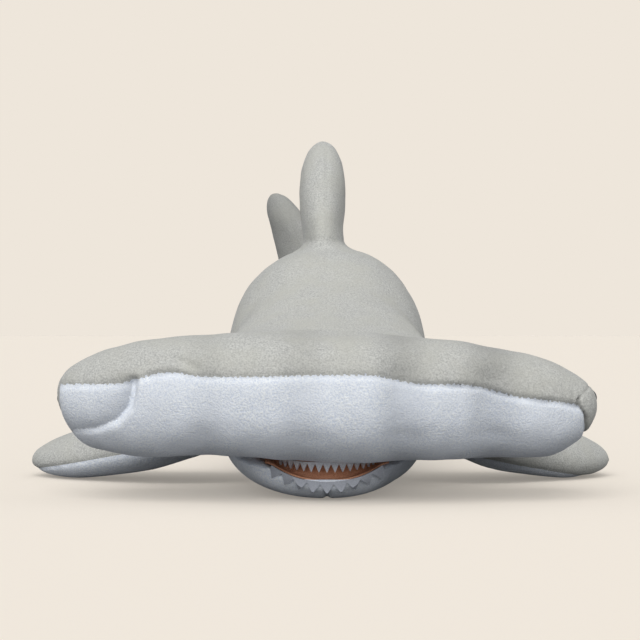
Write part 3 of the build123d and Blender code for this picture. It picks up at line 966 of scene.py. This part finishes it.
def plastic(name, colour, roughness):
    """Moulded plastic, with the faintest unevenness in its gloss."""
    material, nodes, links, shell = shader(name)
    speck = spread(nodes, links, grain(nodes, links, 3), 0.3, 0.7, 0.9, 1.1)
    scaled = nodes.new("ShaderNodeVectorMath")
    scaled.operation = "SCALE"
    scaled.inputs[0].default_value = colour
    links.new(speck, scaled.inputs["Scale"])
    links.new(scaled.outputs["Vector"], shell.inputs["Base Color"])
    rough = spread(nodes, links, grain(nodes, links, 8), 0.3, 0.7, roughness, roughness + 0.06)
    links.new(rough, shell.inputs["Roughness"])
    return material


SHEEN = 0.12
grey_plush = plush("grey_pile", (0.67, 0.67, 0.635), (0.43, 0.43, 0.41), (0.56, 0.555, 0.50), SHEEN)
white_plush = plush("white_pile", (0.96, 0.985, 1.0), (0.70, 0.755, 0.86), (0.86, 0.90, 0.97), SHEEN)
mouth_felt = felt("terracotta_felt", (0.80, 0.42, 0.26), (0.60, 0.28, 0.17))
tooth_felt = felt("white_felt", (0.80, 0.82, 0.86), (0.62, 0.64, 0.68))
# The lower teeth get a darker copy of the white felt, as painted shade.
tooth_felt_painted_shade = felt("white_felt_painted_shade", (0.50, 0.52, 0.57), (0.40, 0.42, 0.47))
eye_gloss = plastic("black_eye_plastic", (0.012, 0.012, 0.013), 0.08)
washer_matte = plastic("washer_plastic", (0.7, 0.7, 0.68), 0.5)
print("materials", [material.name for material in bpy.data.materials])

# %% [markdown]
# Each piece of cloth stands for the panel of the same name in the frame, which is hidden.
# Most pieces go on the torso. The panels of a fin, the jaw and the tail cross a seam that
# bends, and here they stay where they are, on no body.

# %% Put the pieces on their bodies
def spot(side, station, height):
    """One place in the frame's metres."""
    return tuple(float(v) for v in to_frame(np.array([[side, station, height]], float))[0])


GREY = ("head_top", "gusset", "back", "pectoral_top", "dorsal", "tail_left", "tail_right", "caudal")
# Each part whose cloth lies across two bodies, with two places on the seam between them. A part with
# a row here is left where it is.
bends = {
    "left_pectoral": ("torso", "left_pectoral_fin", spot(70, 198, 43), spot(100, 198, 36)),
    "right_pectoral": ("torso", "right_pectoral_fin", spot(-70, 198, 43), spot(-100, 198, 36)),
    "dorsal": ("torso", "dorsal_fin", spot(0, 262, 181), spot(0, 262, 212)),
    "tail": ("torso", "tail_stem", spot(0, 402, 80), spot(0, 460, 80)),
    "caudal": ("tail_stem", "tail_fin", spot(-4, 506, 70), spot(-6, 545, 70)),
}
for name, piece in panels.items():
    is_grey = any(word in name for word in GREY)
    piece.data.materials.append(grey_plush if is_grey else white_plush)
    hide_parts(name)
    bend = next((bends[key] for key in bends if name.startswith(key)), None)
    if bend:
        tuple(bend[2])
        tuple(bend[3])
        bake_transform(piece)
    else:
        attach(piece, "torso")
for piece, material, slot, nodes in (
    (jaw_cloth, white_plush, "white_plush", ("jaw_panel", "jaw_stuffing")),
    (floor_lining, mouth_felt, "mouth_felt", ("mouth_floor_lining",)),
):
    piece.data.materials.append(material)
    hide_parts(*nodes)
    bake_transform(piece)
roof_lining.data.materials.append(mouth_felt)
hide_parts("palate_lining")
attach(roof_lining, "torso")

# %% [markdown]
# The filling is out of sight, so the cloth over it stands for it too. The teeth, the eyes
# and their washers have the right shape already and only need their materials.

# %% The filling and the small parts that stay as the frame has them
for name, stuffing in (
    ("head_top_panel", "body_stuffing"), ("left_pectoral_top_panel", "left_pectoral_stuffing"),
    ("right_pectoral_top_panel", "right_pectoral_stuffing"), ("dorsal_left_panel", "dorsal_stuffing"),
    ("tail_left_panel", "tail_stuffing"), ("caudal_left_panel", "caudal_stuffing"),
):
    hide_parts(name, stuffing)
for name, material in (
    ("upper_teeth", tooth_felt), ("lower_teeth", tooth_felt_painted_shade), ("left_eye", eye_gloss),
    ("right_eye", eye_gloss), ("left_eye_washer", washer_matte), ("right_eye_washer", washer_matte),
):
    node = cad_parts[name]
    node.data.materials.clear()
    node.data.materials.append(material)
print("stuffed pieces declared:", len(panels) + 1)

# %% [markdown]
# The toy lies on a plain pale floor in soft light from above and in front. A sun with a
# wide disc gives soft shadows and lights the floor evenly to the horizon, so a wall of the
# floor's own colour hides where it ends. The camera sees a pale floor, and a darker one
# under it bounces light up, as a table would.


# %% Floor and backdrop
UNDER_DARK, UNDER_LIGHT = (0.22, 0.22, 0.22), (0.24, 0.24, 0.24)
FLOOR_COLOUR = (0.74, 0.677, 0.599)
FLOOR_GLOW = (0.245, 0.227, 0.203)
BACKDROP_COLOUR = (0.855, 0.791, 0.708)


def stage_plane(name, corners, material):
    mesh = bpy.data.meshes.new(name)
    mesh.from_pydata(corners, [], [(0, 1, 2, 3)])
    mesh.materials.append(material)
    plane = bpy.data.objects.new(name, mesh)
    bpy.context.collection.objects.link(plane)
    return plane


def matte(name, first, second):
    """A dull surface whose colour drifts between two over a few hundred millimetres."""
    material, nodes, links, surface = shader(name)
    drift = mixed(nodes, links, grain(nodes, links, 400), first, second)
    links.new(drift, surface.inputs["Base Color"])
    surface.inputs["Roughness"].default_value = 1.0
    surface.inputs["Specular IOR Level"].default_value = 0.0
    return material


def square(half, height):
    corners = ((-half, -half), (half, -half), (half, half), (-half, half))
    return [(x, y, height) for x, y in corners]


pale = stage_plane("floor", square(30, 0), matte("pale_floor", FLOOR_COLOUR, FLOOR_COLOUR))
glow = pale.data.materials[0].node_tree.nodes["Principled BSDF"]
glow.inputs["Emission Color"].default_value = (*FLOOR_GLOW, 1)
glow.inputs["Emission Strength"].default_value = 1.0
under_paint = matte("under_floor", UNDER_DARK, UNDER_LIGHT)
bounce = stage_plane("floor_under", square(30, -0.001), under_paint)
wall_paint, nodes, links, surface = shader("backdrop")
surface.inputs["Base Color"].default_value = (0, 0, 0, 1)
surface.inputs["Specular IOR Level"].default_value = 0.0
surface.inputs["Emission Color"].default_value = (*BACKDROP_COLOUR, 1)
surface.inputs["Emission Strength"].default_value = 1.0
wall = stage_plane("backdrop", [(-40, 29, -1), (40, 29, -1), (40, 29, 40), (-40, 29, 40)], wall_paint)
for plane in (pale, wall):
    plane.visible_diffuse = plane.visible_glossy = plane.visible_shadow = False
bounce.visible_camera = False

# %% [markdown]
# Two suns with wide discs stand for a window above and a pale room in front. The camera
# looks level along the shark, one metre from its nose and as high as the hammer's top.

# %% Light and camera
WORLD_COLOUR, WORLD_STRENGTH = (0.97, 0.985, 1.0), 0.45
# Rows: name, strength, width of the disc in degrees, direction towards it.
SUNS = [("window", 1.6, 55, (-0.16, -0.68, 0.72)), ("front_fill", 0.55, 60, (0.1, -1.0, 0.22))]
CAMERA_DISTANCE, CAMERA_HEIGHT = 1.0, 0.1145
SENSOR, LENS = 36, 88.65
AIM_SHIFT = (-0.0109375, 0.015625)  # the view is off its middle by these shares of its width

world = bpy.data.worlds.new("studio")
bpy.context.scene.world = world
world.use_nodes = True
sky = world.node_tree.nodes["Background"]
sky.inputs["Color"].default_value = (*WORLD_COLOUR, 1)
sky.inputs["Strength"].default_value = WORLD_STRENGTH
for name, power, disc, towards in SUNS:
    sun = bpy.data.lights.new(name, "SUN")
    sun.energy, sun.angle = power, math.radians(disc)
    holder = bpy.data.objects.new(name, sun)
    holder.rotation_euler = Vector(towards).to_track_quat("Z", "Y").to_euler()
    bpy.context.collection.objects.link(holder)

camera = bpy.data.cameras.new("camera")
camera.sensor_width, camera.lens = SENSOR, LENS
camera.shift_x, camera.shift_y = AIM_SHIFT
camera.clip_start = 0.05
stand = bpy.data.objects.new("camera", camera)
stand.location = (0, nose - CAMERA_DISTANCE, CAMERA_HEIGHT)
stand.rotation_euler = (math.radians(90), 0, 0)
bpy.context.collection.objects.link(stand)
bpy.context.scene.camera = stand
bpy.context.scene.view_settings.view_transform = "Standard"
print("camera at", [round(v, 3) for v in stand.location])
